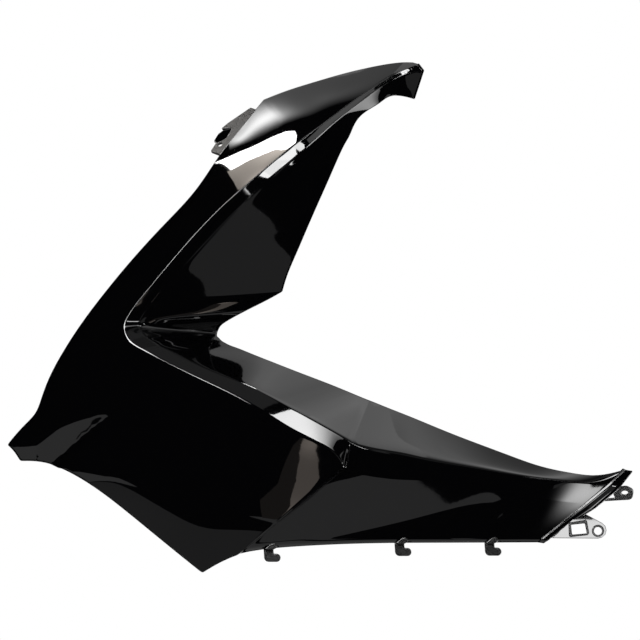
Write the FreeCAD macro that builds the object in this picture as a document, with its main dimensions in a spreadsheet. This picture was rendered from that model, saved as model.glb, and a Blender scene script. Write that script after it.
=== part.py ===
import FreeCAD, Part
import Sketcher
import math
import os

# Left front side panel of a scooter: one thin moulded skin with its flange, tabs and hooks.
# Millimetres. X runs back along the scooter, Z up and Y inward; the rear screw hole is the origin.

doc = FreeCAD.newDocument("front_side_panel")
sizes = doc.addObject("Spreadsheet::Sheet", "sizes")

DRIVING_SIZES = [
    ("panel_length", 619.5, "nose tip to rear tip of the skin"),
    ("panel_height", 511.5, "lowest corner to the top of the wing"),
    ("panel_depth", 95, "outermost face to the deepest edge of the skin"),
    ("skin_wall", 2.6, "thickness of the moulded skin"),
    ("recess_depth", 6.5, "step from the crest line down to the inner panel"),
    ("underturn_angle", 23, "lean of the lower flank under the shield, degrees"),
    ("scoop_depth", 9, "deepest part of the nose scoop"),
    ("flange_reach", 14, "widest part of the set-back flange behind the rear edge"),
    ("flange_setback", 2.2, "step from the rear edge down to the flange"),
    ("tab_wall", 3, "thickness of the screw tabs"),
    ("screw_hole", 8, "hole of the rear screw tab"),
    ("screw_boss", 16.4, "round end of the rear screw tab"),
    ("window_length", 14, "window of the rear screw tab, along the tab"),
    ("window_height", 10, "window of the rear screw tab, across the tab"),
    ("loop_hole", 7, "hole of the loop tab"),
    ("loop_ring", 16, "round end of the loop tab"),
    ("loop_lean", 40, "lean of the loop tab out of the side plane, degrees"),
    ("loop_reach", 19.7, "centre of the loop tab's hole behind its root on the flange"),
    ("hook_neck", 7, "thickness of a hook's neck"),
    ("hook_drop", 13, "reach of a hook under the lower edge"),
    ("hook_bead", 8, "round bead at a hook's toe"),
    ("hook_width", 12, "width of a hook across the edge"),
    ("front_hook", 329, "front hook, ahead of the screw hole"),
    ("middle_hook", 198, "middle hook, ahead of the screw hole"),
    ("back_hook", 108, "back hook, ahead of the screw hole"),
    ("front_tab_length", 64, "front tab along the wing's front edge"),
    ("front_tab_reach", 7.4, "front tab's strip beyond the wing's front edge"),
    ("front_tab_turn", 25, "turn of the front tab out of the wing's face, degrees"),
    ("front_lug_length", 14, "lug of the front tab along the wing's front edge"),
    ("front_lug_reach", 13.4, "lug of the front tab beyond the wing's front edge"),
    ("front_stop_length", 12, "stop of the front tab along the wing's front edge"),
    ("front_stop_reach", 17, "stop of the front tab beyond the wing's front edge"),
    ("front_tab_hole", 4.5, "locating hole of the front tab"),
]
for row, (alias, value, note) in enumerate(DRIVING_SIZES, start=1):
    sizes.set("A%d" % row, alias)
    sizes.set("B%d" % row, str(value))
    sizes.set("C%d" % row, note)
    sizes.setAlias("B%d" % row, alias)
doc.recompute()


def size(alias):
    return float(getattr(sizes, alias))


# Guide lines of the skin in the side view: station number, x, z. The stations run from the wing tip
# along the wing, round the nose and back along the arm. A new run starts at each corner of the outline.
OUTER_EDGE = [
    [(0, -185, 469.5), (1, -206, 469), (2, -246, 461.5), (3, -283, 451.5), (4, -314, 442), (4.7, -335, 434)],
    [(4.7, -335, 434), (5.5, -350, 415), (6.2, -362, 399), (7, -379, 377), (8, -403, 341), (9, -435, 306),
     (10, -467, 271), (11, -492, 241), (12, -515, 211), (13, -535, 181), (14, -553, 147), (14.6, -560, 127),
     (15, -565, 116), (15.5, -578, 103), (16, -593.5, 85)],
    [(16, -593.5, 85), (16.5, -587, 79), (17, -580.5, 69)],
    [(17, -580.5, 69), (17.5, -563, 69), (18, -546, 65.5), (19, -513, 49.5), (20, -480, 26), (21, -438, -8),
     (22, -396, -42)],
    [(22, -396, -42), (23, -382, -33.5), (24, -370, -27.5), (25, -360, -23.5), (25.5, -352, -21.3),
     (26, -336, -18.7), (27, -298, -15.5), (28, -253, -13.3), (29, -208, -12.2), (30, -166, -11.8),
     (31, -126, -11.6), (32, -92, -11.5), (33, -61, -11.5)],
]
CREST = [
    [(0, -179, 467.5), (1, -200, 458.5), (2, -229, 441), (3, -255, 422.5), (4, -280, 403), (5, -308, 382.5),
     (6, -334, 360.5), (7, -360, 338.3), (8, -385, 315), (9, -410, 288), (10, -433, 261), (11, -450, 240.5),
     (12, -464, 223), (13, -471, 211.5), (14, -473, 203.5), (15, -470.4, 195), (16, -467, 190.5),
     (17, -463, 187), (18, -456, 182.7), (19, -444, 176), (20, -425, 166), (21, -394, 151), (22, -362, 135.5),
     (23, -327, 115), (24, -291, 94), (24.6, -263, 79.5), (25, -254, 65)],
    [(25, -254, 65), (25.5, -249, 62), (26, -240, 59), (27, -210, 53), (28, -173, 52), (29, -136, 50.5),
     (30, -104, 46), (31, -76, 38), (32, -44, 31), (33, -13, 27.5)],
]
RECESS_FOOT = [
    [(0, -174, 461), (1, -198, 455.5), (2, -226.5, 437.5), (3, -251, 419), (4, -276, 398), (5, -299, 377),
     (6, -324, 356.5), (7, -350, 332), (8, -373, 309), (9, -397, 283), (10, -419, 259), (11, -436, 240),
     (12, -449, 224), (13, -456.5, 213), (13.5, -459, 208), (14, -459, 204), (15, -456.5, 199),
     (16, -453, 194.5), (17, -448, 191), (18, -442, 187), (19, -432, 181.5), (20, -414, 172), (21, -384, 158.5),
     (22, -350, 145), (23, -317, 128), (24, -281, 108), (25, -251, 90.5), (25.5, -243, 85.5), (26, -232, 81),
     (27, -203, 74.5), (28, -168, 68), (29, -133, 63), (30, -101, 58), (31, -70, 53.5), (32, -33, 49),
     (33, 9, 45.5)],
]
NOTCH_EDGE = [
    [(0, -183, 433), (0.7, -195, 436), (1.3, -207, 436), (2, -218, 429), (3, -236, 417), (3.6, -244, 406.5),
     (4, -247.5, 398), (5, -255, 384), (6, -268, 355), (7, -280, 328), (8, -291, 303), (9, -300, 282),
     (10, -307, 266), (11, -313, 250), (11.6, -316, 239.5)],
    [(11.6, -316, 239.5), (12, -330, 231.5), (12.5, -350, 221.5), (13, -372, 209.5), (13.5, -379, 203.5),
     (14, -381.5, 198), (15, -380, 193.5), (16, -377, 190.5), (17, -373, 188), (18, -368, 185.5),
     (19, -361, 183), (20, -351, 179), (21, -340, 174.5), (22, -326, 169), (23, -298, 158), (24, -263, 144.5),
     (25, -233, 132), (25.5, -224, 128.5), (26, -213, 124), (27, -185, 113), (28, -151, 99), (29, -117, 86),
     (30, -86, 74.5), (31, -55, 64), (32, -20, 57), (32.6, 5, 56), (33, 26, 61)],
]

# Depth of the skin behind its outermost face. The shield's depths are soundings in the side view.
SHIELD_SOUNDINGS = [
    (-180, 468, 40), (-229, 441, 26), (-280, 403, 13), (-334, 360.5, 5), (-385, 315, 1), (-433, 261, 0),
    (-471, 211, 0), (-470, 195, 0), (-425, 166, -2), (-362, 135.5, -3), (-291, 94, -2), (-255, 69, 1),
    (-185, 469.5, 44), (-246, 461.5, 70), (-283, 451.5, 80), (-314, 442, 88), (-335, 434, 91), (-350, 415, 83),
    (-362, 399, 74), (-379, 377, 60), (-403, 341, 44), (-435, 306, 39), (-467, 271, 40), (-492, 241, 44),
    (-515, 211, 48), (-535, 181, 52), (-553, 147, 57), (-565, 116, 65), (-593.5, 85, 77), (-580.5, 69, 74),
    (-546, 65.5, 50), (-513, 49.5, 33), (-480, 26, 21), (-396, -42, 8), (-360, -23.5, 5), (-264, 433, 35),
    (-325, 405, 30), (-370, 358, 18), (-394, 328, 13), (-422.5, 297, 11.5), (-450, 266, 12), (-489.5, 217, 15),
    (-508, 181, 18), (-498, 131, 17), (-538, 111, 37), (-508, 91, 24), (-448, 111, 3), (-438, 51, 4),
    (-398, 81, -2), (-348, 51, -2), (-308, 31, 1), (-398, 11, 2),
]
SOUNDING_EASE = 0.06
RECESS_SHARE = [(0, 0.4), (3, 0.6), (6, 0.9), (9, 1), (25, 1)]
NOTCH_EDGE_DEPTH = [(0, 50), (1, 44), (2, 35), (3, 30), (4, 27), (5, 27), (6, 28), (8, 31), (10, 30),
                    (11.6, 31), (13, 33), (13.6, 52), (14, 56), (15, 51.6), (17, 49), (19, 50.4), (20, 51.8),
                    (22, 55.4), (23, 59.1), (24, 63.4), (25, 66.2), (26, 67.1), (27, 65), (28, 60),
                    (29, 52.5), (30, 44), (31, 35), (32, 27), (33, 25)]
ARM_CREST_DEPTH = [(25, 8.5), (26, 9), (27, 9.5), (28, 11), (29, 12.5),
                   (30, 14), (31, 15.6), (32, 18.2), (33, 23.5)]
ARM_FOOT_DEPTH = [(25, 8), (26, 8.5), (27, 9.5), (28, 11), (29, 12.5),
                  (30, 13.8), (31, 15.2), (32, 18), (33, 23.5)]
ARM_EDGE_DEPTH = [(25, 19), (26, 23), (27, 27), (28, 27), (29, 24.5),
                  (30, 20), (31, 17.5), (32, 18.8), (33, 23.5)]
ARM_BEND_SHARE = [(25, 1), (27, 0.95), (28, 0.8), (29, 0.61), (30, 0.31), (31, 0.3), (32, 0.6), (33, 1)]
ARM_LIP_SHARE = 0.07
ARM_LIP_DEPTH = 5
UNDERTURN_LINE = [(-640, 20), (-530, 52), (-492, 50), (-476, 47), (-455, 37), (-425, 21), (-408, 12), (-383, 8),
                  (-338, 6), (-200, -10)]
SCOOP_TOP = [(-640, 85), (-562, 85), (-540, 102), (-526, 109), (-515, 113.5), (-494, 119), (-480, 117.5)]
SCOOP_FOOT = [(-640, 40), (-562, 51), (-540, 64), (-526, 77), (-507, 94), (-490, 107), (-480, 116.5)]
SCOOP_SHARE = [(-640, 1), (-562, 1), (-540, 0.95), (-515, 0.65), (-494, 0.3), (-480, 0)]
SCOOP_LOW_POINT = 0.85
UNDERTURN_ROUND = 8
FLANGE_TAPER = [(0, 0.5), (0.15, 0.5), (0.3, 0.62), (0.5, 0.95), (0.75, 0.95), (1, 0.6)]
FLANGE_SLANT = -0.15
FLANGE_STEPS = [(0.06, 0.3), (0.14, 0.85), (0.24, 1), (0.45, 1), (0.7, 1), (1, 1)]

# Where the surface is held along and across the stations; close lines make a tight bend.
SHIELD_END = 25
ARM_START = 25.5
REAR_EDGE = 33
EXTRA_STATIONS = [0.15, 0.5, 1.5, 3.5, 4.4, 4.7, 5.4, 6.5, 11.45, 11.6, 11.75, 12.5, 12.85, 13.15, 13.5, 13.75,
                  14.5, 15.5, 15.75, 16.25, 16.5, 16.75, 17.5, 18.5, 21.5, 22.5, 24.5, 24.75, 24.9,
                  25.15, 25.35, 25.5, 25.65, 26.5, 32.5, 32.85, 32.95]
ACROSS_SHIELD = [0, 0.025, 0.08, 0.16, 0.26, 0.37, 0.48, 0.59, 0.7, 0.8, 0.88, 0.94, 0.975]
ACROSS_BAND = [0, 0.3, 0.7]
ACROSS_INNER = [0, 0.04, 0.12, 0.25, 0.4, 0.55, 0.7, 0.84, 0.94, 1]
SKIN_STRIPS_ALONG = 15
SKIN_STRIPS_ACROSS = 4


def spline_slopes(at, values):
    """Second derivatives of the natural cubic spline through the values."""
    count = len(at)
    lower = [0.0] * count
    rhs = [0.0] * count
    for i in range(1, count - 1):
        before = at[i] - at[i - 1]
        after = at[i + 1] - at[i]
        share = before / (before + after)
        pivot = share * lower[i - 1] + 2
        lower[i] = (share - 1) / pivot
        jump = (values[i + 1] - values[i]) / after - (values[i] - values[i - 1]) / before
        rhs[i] = (6 * jump / (before + after) - share * rhs[i - 1]) / pivot
    bends = [0.0] * count
    for i in range(count - 2, -1, -1):
        bends[i] = lower[i] * bends[i + 1] + rhs[i]
    return bends


def smooth_guide(runs):
    """A point of the side view by station, smooth within each run and cornered between runs."""
    fitted = []
    for run in runs:
        at = [p[0] for p in run]
        lines = [[p[axis] for p in run] for axis in (1, 2)]
        fitted.append((at, lines, [spline_slopes(at, line) for line in lines]))

    def point(station):
        for at, lines, bends in fitted:
            if station <= at[-1] or at is fitted[-1][0]:
                break
        i = max(k for k in range(len(at) - 1) if at[k] <= station or k == 0)
        step = at[i + 1] - at[i]
        a = (at[i + 1] - station) / step
        b = (station - at[i]) / step
        pull_a = (a ** 3 - a) * step * step / 6
        pull_b = (b ** 3 - b) * step * step / 6
        return [
            a * line[i] + b * line[i + 1] + pull_a * bend[i] + pull_b * bend[i + 1]
            for line, bend in zip(lines, bends)
        ]

    return point


def level(table, at):
    """A value read between the rows of a table of (position, value)."""
    if at <= table[0][0]:
        return table[0][1]
    for (a, first), (b, second) in zip(table, table[1:]):
        if at <= b:
            return first + (second - first) * (at - a) / (b - a)
    return table[-1][1]


def solve(matrix, rhs):
    """Solution of a square set of linear equations."""
    rows = [list(line) + [value] for line, value in zip(matrix, rhs)]
    count = len(rows)
    for i in range(count):
        best = max(range(i, count), key=lambda k: abs(rows[k][i]))
        rows[i], rows[best] = rows[best], rows[i]
        for k in range(i + 1, count):
            factor = rows[k][i] / rows[i][i]
            if factor:
                rows[k] = [b - factor * a for a, b in zip(rows[i], rows[k])]
    result = [0.0] * count
    for i in range(count - 1, -1, -1):
        done = sum(rows[i][k] * result[k] for k in range(i + 1, count))
        result[i] = (rows[i][count] - done) / rows[i][i]
    return result


def sounding_field(soundings):
    """A smooth depth over the side view through the soundings, as a thin springy sheet would lie."""
    spots = [(x / 100, z / 100) for x, z, depth in soundings]
    count = len(spots)
    matrix = []
    for i, (x, z) in enumerate(spots):
        line = [math.hypot(x - a, z - b) ** 3 for a, b in spots]
        line[i] += SOUNDING_EASE
        matrix.append(line + [1, x, z])
    for k in range(3):
        matrix.append([(1, x, z)[k] for x, z in spots] + [0, 0, 0])
    weights = solve(matrix, [depth for x, z, depth in soundings] + [0, 0, 0])

    def depth(x, z):
        x, z = x / 100, z / 100
        pull = sum(w * math.hypot(x - a, z - b) ** 3 for w, (a, b) in zip(weights, spots))
        return pull + weights[count] + weights[count + 1] * x + weights[count + 2] * z

    return depth


outer_edge = smooth_guide(OUTER_EDGE)
crest = smooth_guide(CREST)
recess_foot = smooth_guide(RECESS_FOOT)
notch_edge = smooth_guide(NOTCH_EDGE)
shield_base = sounding_field(SHIELD_SOUNDINGS)


def soft_ramp(distance, radius):
    """Zero before the bend and the distance after it, with the bend rounded."""
    return 0.5 * (distance + math.sqrt(distance * distance + radius * radius))


def scoop(x, z):
    """Depth of the leaf-shaped nose scoop, which falls away from its top line and ends at a steep foot."""
    top = level(SCOOP_TOP, x)
    tall = max(top - level(SCOOP_FOOT, x), 1)
    share = (top - z) / tall
    if share <= 0 or share >= 1:
        return 0
    fall = min(share / SCOOP_LOW_POINT, (1 - share) / (1 - SCOOP_LOW_POINT))
    return size("scoop_depth") * level(SCOOP_SHARE, x) * fall


def shield_depth(x, z):
    under = soft_ramp(level(UNDERTURN_LINE, x) - z, UNDERTURN_ROUND)
    return shield_base(x, z) + math.tan(math.radians(size("underturn_angle"))) * under + scoop(x, z)


def arm_depth(station, share):
    """Depth of the arm's flank, from its lower edge at share 0 to its crest at share 1."""
    bend = level(ARM_BEND_SHARE, station)
    top = level(ARM_CREST_DEPTH, station)
    low = level(ARM_EDGE_DEPTH, station)
    from_top = 1 - share
    lip = ARM_LIP_DEPTH * max(0, (from_top - 1) / ARM_LIP_SHARE + 1) ** 1.5
    return top + (low - top) * min(from_top / bend, 1) + lip


def foot_depth(station):
    if station >= ARM_START:
        return level(ARM_FOOT_DEPTH, station)
    stepped = shield_depth(*crest(station)) + size("recess_depth") * level(RECESS_SHARE, station)
    if station <= SHIELD_END:
        return stepped
    mix = (station - SHIELD_END) / (ARM_START - SHIELD_END)
    return stepped + (level(ARM_FOOT_DEPTH, station) - stepped) * mix


def between(first, second, share):
    return [a + (b - a) * share for a, b in zip(first, second)]


def flank_point(station, share):
    """The shield or the arm's flank, from the outer edge at share 0 to the crest at share 1."""
    x, z = between(outer_edge(station), crest(station), share)
    if station <= SHIELD_END:
        return x, shield_depth(x, z), z
    if station >= ARM_START:
        return x, arm_depth(station, share), z
    mix = (station - SHIELD_END) / (ARM_START - SHIELD_END)
    return x, shield_depth(x, z) * (1 - mix) + arm_depth(station, share) * mix, z


def band_point(station, share):
    """The step between the crest and the inner panel."""
    x, z = between(crest(station), recess_foot(station), share)
    top = flank_point(station, 1)[1]
    return x, top + (foot_depth(station) - top) * share, z


def inner_point(station, share):
    """The inner panel beside the wing and the sloping top of the arm, out to the notch."""
    x, z = between(recess_foot(station), notch_edge(station), share)
    foot = foot_depth(station)
    soft = 0.02 + 0.1 * min(1, max(0, (station - ARM_START) / 2))
    start = soft_ramp(-soft, soft)
    lean = (soft_ramp(share - soft, soft) - start) / (soft_ramp(1 - soft, soft) - start)
    return x, foot + (level(NOTCH_EDGE_DEPTH, station) - foot) * lean, z


def section(station):
    line = [flank_point(station, share) for share in ACROSS_SHIELD]
    line += [band_point(station, share) for share in ACROSS_BAND]
    return line + [inner_point(station, share) for share in ACROSS_INNER]


def panel_net():
    """Sections of the outer face from the wing tip to the rear flange, before sizing."""
    stations = sorted(list(range(REAR_EDGE + 1)) + EXTRA_STATIONS)
    net = [section(station) for station in stations]
    rear = net[-1]
    low = rear[0][2]
    high = rear[-1][2]
    drop = size("flange_setback")
    for share, sunk in FLANGE_STEPS:
        line = []
        for x, depth, z in rear:
            reach = size("flange_reach") * level(FLANGE_TAPER, (z - low) / (high - low)) * share
            line.append((x + reach, depth + drop * sunk, z + reach * FLANGE_SLANT))
        net.append(line)
    return net


# The guides are drawn at one size; the sheet's overall sizes stretch them from the rear screw tab.
TAB_ROOT_DEPTH = 24
skin_rows = [p for run in OUTER_EDGE + NOTCH_EDGE for p in run]
stretch_x = size("panel_length") / (max(p[1] for p in skin_rows) - min(p[1] for p in skin_rows))
stretch_z = size("panel_height") / (max(p[2] for p in skin_rows) - min(p[2] for p in skin_rows))
drawn_depths = [p[2] for p in SHIELD_SOUNDINGS]
stretch_y = size("panel_depth") / (max(drawn_depths) - min(drawn_depths) + 1)


def sized(point):
    x, depth, z = point
    return FreeCAD.Vector(x * stretch_x, (depth - TAB_ROOT_DEPTH) * stretch_y, z * stretch_z)


def strip_ends(spans, strips):
    """Whole spans of a surface shared out into strips, as the ends of each strip."""
    cuts = [round(spans * k / round(strips)) for k in range(round(strips) + 1)]
    return list(zip(cuts, cuts[1:]))


def skin_solid():
    """The skin between its outer face and the same face moved inward by the wall."""
    outer = [[sized(p) for p in line] for line in panel_net()]
    rows = len(outer)
    cols = len(outer[0])

    def relaxed(i, k):
        point = outer[i][k]
        if 0 < i < rows - 1:
            point = (outer[i - 1][k] + point * 4 + outer[i + 1][k]) / 6
        return point

    inner = []
    for i in range(rows):
        line = []
        for k in range(cols):
            along = relaxed(min(i + 1, rows - 1), k) - relaxed(max(i - 1, 0), k)
            across = relaxed(i, min(k + 1, cols - 1)) - relaxed(i, max(k - 1, 0))
            inward = along.cross(across)
            inward.normalize()
            line.append(outer[i][k] - inward * size("skin_wall"))
        inner.append(line)

    def knots(count, degree):
        spans = count - degree
        return [degree + 1] + [1] * (spans - 1) + [degree + 1], [float(k) for k in range(spans + 1)]

    def surface(poles, degree_v):
        sheet = Part.BSplineSurface()
        mults_u, knots_u = knots(len(poles), 3)
        mults_v, knots_v = knots(len(poles[0]), degree_v)
        sheet.buildFromPolesMultsKnots(poles, mults_u, mults_v, knots_u, knots_v, False, False, 3, degree_v)
        return sheet

    def rim(first, second):
        return surface([list(pair) for pair in zip(first, second)], 1)

    def column(net, k):
        return [line[k] for line in net]

    along_cuts = strip_ends(rows - 3, SKIN_STRIPS_ALONG)
    across_cuts = strip_ends(cols - 3, SKIN_STRIPS_ACROSS)
    faces = []
    for i in (0, -1):
        sheet = rim(outer[i], inner[i])
        faces += [sheet.toShape(first, last, 0, 1) for first, last in across_cuts]
    for k in (0, -1):
        sheet = rim(column(outer, k), column(inner, k))
        faces += [sheet.toShape(first, last, 0, 1) for first, last in along_cuts]
    for sheet in (surface(outer, 3), surface(inner, 3)):
        for first, last in along_cuts:
            faces += [sheet.toShape(first, last, low, high) for low, high in across_cuts]
    sewn = Part.makeCompound(faces)
    sewn.sewShape()
    solid = Part.makeSolid(Part.makeShell(sewn.Faces))
    if solid.Volume < 0:
        solid.reverse()
    return solid


skin = doc.addObject("Part::Feature", "skin")
skin.Shape = skin_solid()

SIDE_NORMAL = FreeCAD.Vector(0, 1, 0)
UPRIGHT_TO_SIDE = FreeCAD.Rotation(FreeCAD.Vector(1, 0, 0), -90)


def block(label, length, width, height, corner, rotation=FreeCAD.Rotation()):
    """A box sized from the sheet, placed by its corner."""
    box = doc.addObject("Part::Box", label)
    box.Placement = FreeCAD.Placement(corner, rotation)
    for edge, expression in (("Length", length), ("Width", width), ("Height", height)):
        box.setExpression(edge, expression)
    return box


def round_bar(label, diameter, length, centre, rotation=UPRIGHT_TO_SIDE):
    """A cylinder sized from the sheet, from its first end's centre and along Y unless turned."""
    bar = doc.addObject("Part::Cylinder", label)
    bar.Placement = FreeCAD.Placement(centre, rotation)
    bar.setExpression("Radius", "(%s) / 2" % diameter)
    bar.setExpression("Height", length)
    return bar


net = [[sized(p) for p in line] for line in panel_net()]
flange_middle = net[-3]
LOW_ROOT_SHARE = 0.13
HIGH_ROOT_SHARE = 0.47
LOOP_ROOT_SHARE = 0.695


def on_flange(share):
    """A point on the middle of the flange, share of the way up it."""
    height = flange_middle[0].z + (flange_middle[-1].z - flange_middle[0].z) * share
    for first, second in zip(flange_middle, flange_middle[1:]):
        if height <= second.z:
            return first + (second - first) * ((height - first.z) / (second.z - first.z))
    return flange_middle[-1]


# Rear screw tab: a flat plate from the flange to a round end about the screw hole, with a window.
screw_tab = doc.addObject("PartDesign::Body", "screw_tab")
outline = screw_tab.newObject("Sketcher::SketchObject", "screw_tab_outline")
side_plane = [f for f in screw_tab.Origin.OriginFeatures if f.Role == "XZ_Plane"][0]
outline.AttachmentSupport = [(side_plane, "")]
outline.MapMode = "FlatFace"
low_root = on_flange(LOW_ROOT_SHARE)
high_root = on_flange(HIGH_ROOT_SHARE)
boss_reach = size("screw_boss") / 2
CUT_CLEAR = 4
THROUGH_TAB = "sizes.tab_wall + %g" % (2 * CUT_CLEAR)
tab_corners = [
    (low_root.x, low_root.z, None),
    (boss_reach * 0.3, -boss_reach * 0.95, ("0.15", "-0.475")),
    (boss_reach * 0.55, boss_reach * 0.83, ("0.275", "0.415")),
    (high_root.x, high_root.z, None),
]
for i, (x, z, tied) in enumerate(tab_corners):
    next_x, next_z = tab_corners[(i + 1) % 4][:2]
    outline.addGeometry(Part.LineSegment(FreeCAD.Vector(x, z, 0), FreeCAD.Vector(next_x, next_z, 0)))
for i, (x, z, tied) in enumerate(tab_corners):
    outline.addConstraint(Sketcher.Constraint("Coincident", i, 2, (i + 1) % 4, 1))
for i, (x, z, tied) in enumerate(tab_corners):
    for kind, value, factor in (("DistanceX", x, 0), ("DistanceY", z, 1)):
        index = outline.addConstraint(Sketcher.Constraint(kind, -1, 1, i, 1, value))
        if tied:
            name = "corner_%d_%s" % (i, kind)
            outline.renameConstraint(index, name)
            outline.setExpression("Constraints." + name, "sizes.screw_boss * (%s)" % tied[factor])
tab_plate = screw_tab.newObject("PartDesign::Pad", "screw_tab_plate")
tab_plate.Profile = outline
tab_plate.Reversed = True
tab_plate.setExpression("Length", "sizes.tab_wall")
outline.Visibility = False

screw_boss = round_bar("screw_boss", "sizes.screw_boss", "sizes.tab_wall", FreeCAD.Vector(0, 0, 0))
screw_hole = round_bar("screw_hole_cut", "sizes.screw_hole", THROUGH_TAB, FreeCAD.Vector(0, -CUT_CLEAR, 0))
WINDOW_TILT = FreeCAD.Rotation(SIDE_NORMAL, -11)
WINDOW_GAP = 4
WINDOW_RISE = 1.5
window_middle = FreeCAD.Vector(-boss_reach - size("window_length") / 2 - WINDOW_GAP, 0, WINDOW_RISE)
window_corner = FreeCAD.Vector(-size("window_length") / 2, -CUT_CLEAR, -size("window_height") / 2)
window = block("window_cut", "sizes.window_length", THROUGH_TAB, "sizes.window_height",
               window_middle + WINDOW_TILT.multVec(window_corner), WINDOW_TILT)

# Loop tab: a leaning ring on a short arm, higher on the flange.
loop_root = on_flange(LOOP_ROOT_SHARE)
loop_middle = loop_root + FreeCAD.Vector(size("loop_reach"), size("tab_wall"), 0)
LOOP_TILT = FreeCAD.Rotation(FreeCAD.Vector(1, 0, 0), size("loop_lean"))
loop_axis = LOOP_TILT.multiply(UPRIGHT_TO_SIDE)
half_wall = LOOP_TILT.multVec(FreeCAD.Vector(0, size("tab_wall") / 2, 0))
loop_ring = round_bar("loop_ring", "sizes.loop_ring", "sizes.tab_wall", loop_middle - half_wall, loop_axis)
loop_hole = round_bar("loop_hole_cut", "sizes.loop_hole", "sizes.tab_wall * 3",
                      loop_middle - half_wall * 3, loop_axis)
LOOP_ARM_LAP = 4
arm_corner = FreeCAD.Vector(-size("loop_reach") - LOOP_ARM_LAP, -size("tab_wall") / 2, -size("loop_ring") * 0.3)
loop_arm = block("loop_arm", "sizes.loop_reach + %g" % LOOP_ARM_LAP, "sizes.tab_wall", "sizes.loop_ring * 0.6",
                 loop_middle + LOOP_TILT.multVec(arm_corner), LOOP_TILT)


LOWER_EDGE_TOP = -5
HOOK_SUNK = 0.4
HOOK_ROOT = 5


def lower_edge_at(x):
    """The point of the arm's lower edge at this distance ahead of the screw hole."""
    edge = [line[0] for line in net if line[0].z < LOWER_EDGE_TOP * stretch_z]
    for first, second in zip(edge, edge[1:]):
        if first.x <= x <= second.x:
            return first + (second - first) * ((x - first.x) / (second.x - first.x))
    return edge[-1]


# Hooks under the lower edge: a neck, a foot to the rear and a round bead at the toe.
hooks = []
for place in ("front_hook", "middle_hook", "back_hook"):
    edge = lower_edge_at(-size(place))
    base = FreeCAD.Vector(edge.x - size("hook_neck") / 2, edge.y + HOOK_SUNK, edge.z - size("hook_drop"))
    bead = FreeCAD.Vector(size("hook_neck") / 2 + size("hook_bead") * 0.9, 0, size("hook_bead") / 2)
    hooks.append(block(place + "_neck", "sizes.hook_neck", "sizes.hook_width",
                       "sizes.hook_drop + %g" % HOOK_ROOT, base))
    hooks.append(block(place + "_foot", "sizes.hook_neck / 2 + sizes.hook_bead * 0.9", "sizes.hook_width",
                       "sizes.hook_bead * 0.6", base + FreeCAD.Vector(size("hook_neck") * 0.3, 0, 0)))
    hooks.append(round_bar(place + "_bead", "sizes.hook_bead", "sizes.hook_width", base + bead))

# Front tab: a plate that carries on from under the wing's front edge, with a locating hole.
FRONT_LAP = 5
FRONT_TAB_LEAD = 36.5
FRONT_HOLE_LEAD = 11
FRONT_HOLE_REACH = 8.6
FRONT_STOP_LEAD = 28
edge_top = sized(flank_point(5.0, 0))
edge_low = sized(flank_point(6.9, 0))
edge_middle = sized(flank_point(6.0, 0))
along_edge = edge_low - edge_top
along_edge.normalize()
into_panel = sized(flank_point(6.0, 0.05)) - edge_middle
into_panel -= along_edge * into_panel.dot(along_edge)
into_panel.normalize()
outward = into_panel * -1
inward = outward.cross(along_edge)
if inward.y < 0:
    along_edge = along_edge * -1
    inward = inward * -1
tab_swing = FreeCAD.Rotation(along_edge, size("front_tab_turn"))
if tab_swing.multVec(outward).dot(inward) > 0:
    tab_swing = tab_swing.inverted()
front_corner = edge_middle - along_edge * FRONT_TAB_LEAD + inward * (size("skin_wall") * 0.6)
outward = tab_swing.multVec(outward)
inward = tab_swing.multVec(inward)
front_turn = FreeCAD.Rotation(along_edge, FreeCAD.Vector(), outward, "XZY")
front_tab = block("front_tab", "sizes.front_tab_length", "sizes.tab_wall",
                  "sizes.front_tab_reach + %g" % FRONT_LAP,
                  front_corner - outward * FRONT_LAP, front_turn)
front_lug = block("front_tab_lug", "sizes.front_lug_length", "sizes.tab_wall", "sizes.front_lug_reach",
                  front_corner, front_turn)
front_stop = block("front_tab_stop", "sizes.front_stop_length", "sizes.tab_wall * 2", "sizes.front_stop_reach",
                   front_corner + along_edge * FRONT_STOP_LEAD, front_turn)
front_hole_at = front_corner + along_edge * FRONT_HOLE_LEAD + outward * FRONT_HOLE_REACH
front_hole = round_bar("front_tab_hole_cut", "sizes.front_tab_hole", THROUGH_TAB,
                       front_hole_at - inward * CUT_CLEAR, front_turn.multiply(UPRIGHT_TO_SIDE))

moulding = doc.addObject("Part::MultiFuse", "moulding")
moulding.Refine = False
moulding.Shapes = [skin, screw_tab, screw_boss, loop_ring, loop_arm, front_tab, front_lug, front_stop] + hooks
openings = doc.addObject("Part::MultiFuse", "openings")
openings.Shapes = [screw_hole, window, loop_hole, front_hole]
panel = doc.addObject("Part::Cut", "front_side_panel")
panel.Label = "front_side_panel"
panel.Base = moulding
panel.Tool = openings
panel.Refine = False
doc.recompute()

for item in doc.Objects:
    if "Invalid" in item.State or "Error" in item.State:
        raise RuntimeError("%s did not build" % item.Label)
    if hasattr(item, "Shape") and item.TypeId != "App::Origin":
        if item.Shape.isNull() or not item.Shape.isValid():
            raise RuntimeError("%s has no sound shape" % item.Label)
os.makedirs("parts", exist_ok=True)
panel.Shape.exportStep("parts/front_side_panel.step")
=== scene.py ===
import math

import bpy
import numpy as np
from mathutils import Matrix, Vector


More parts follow.
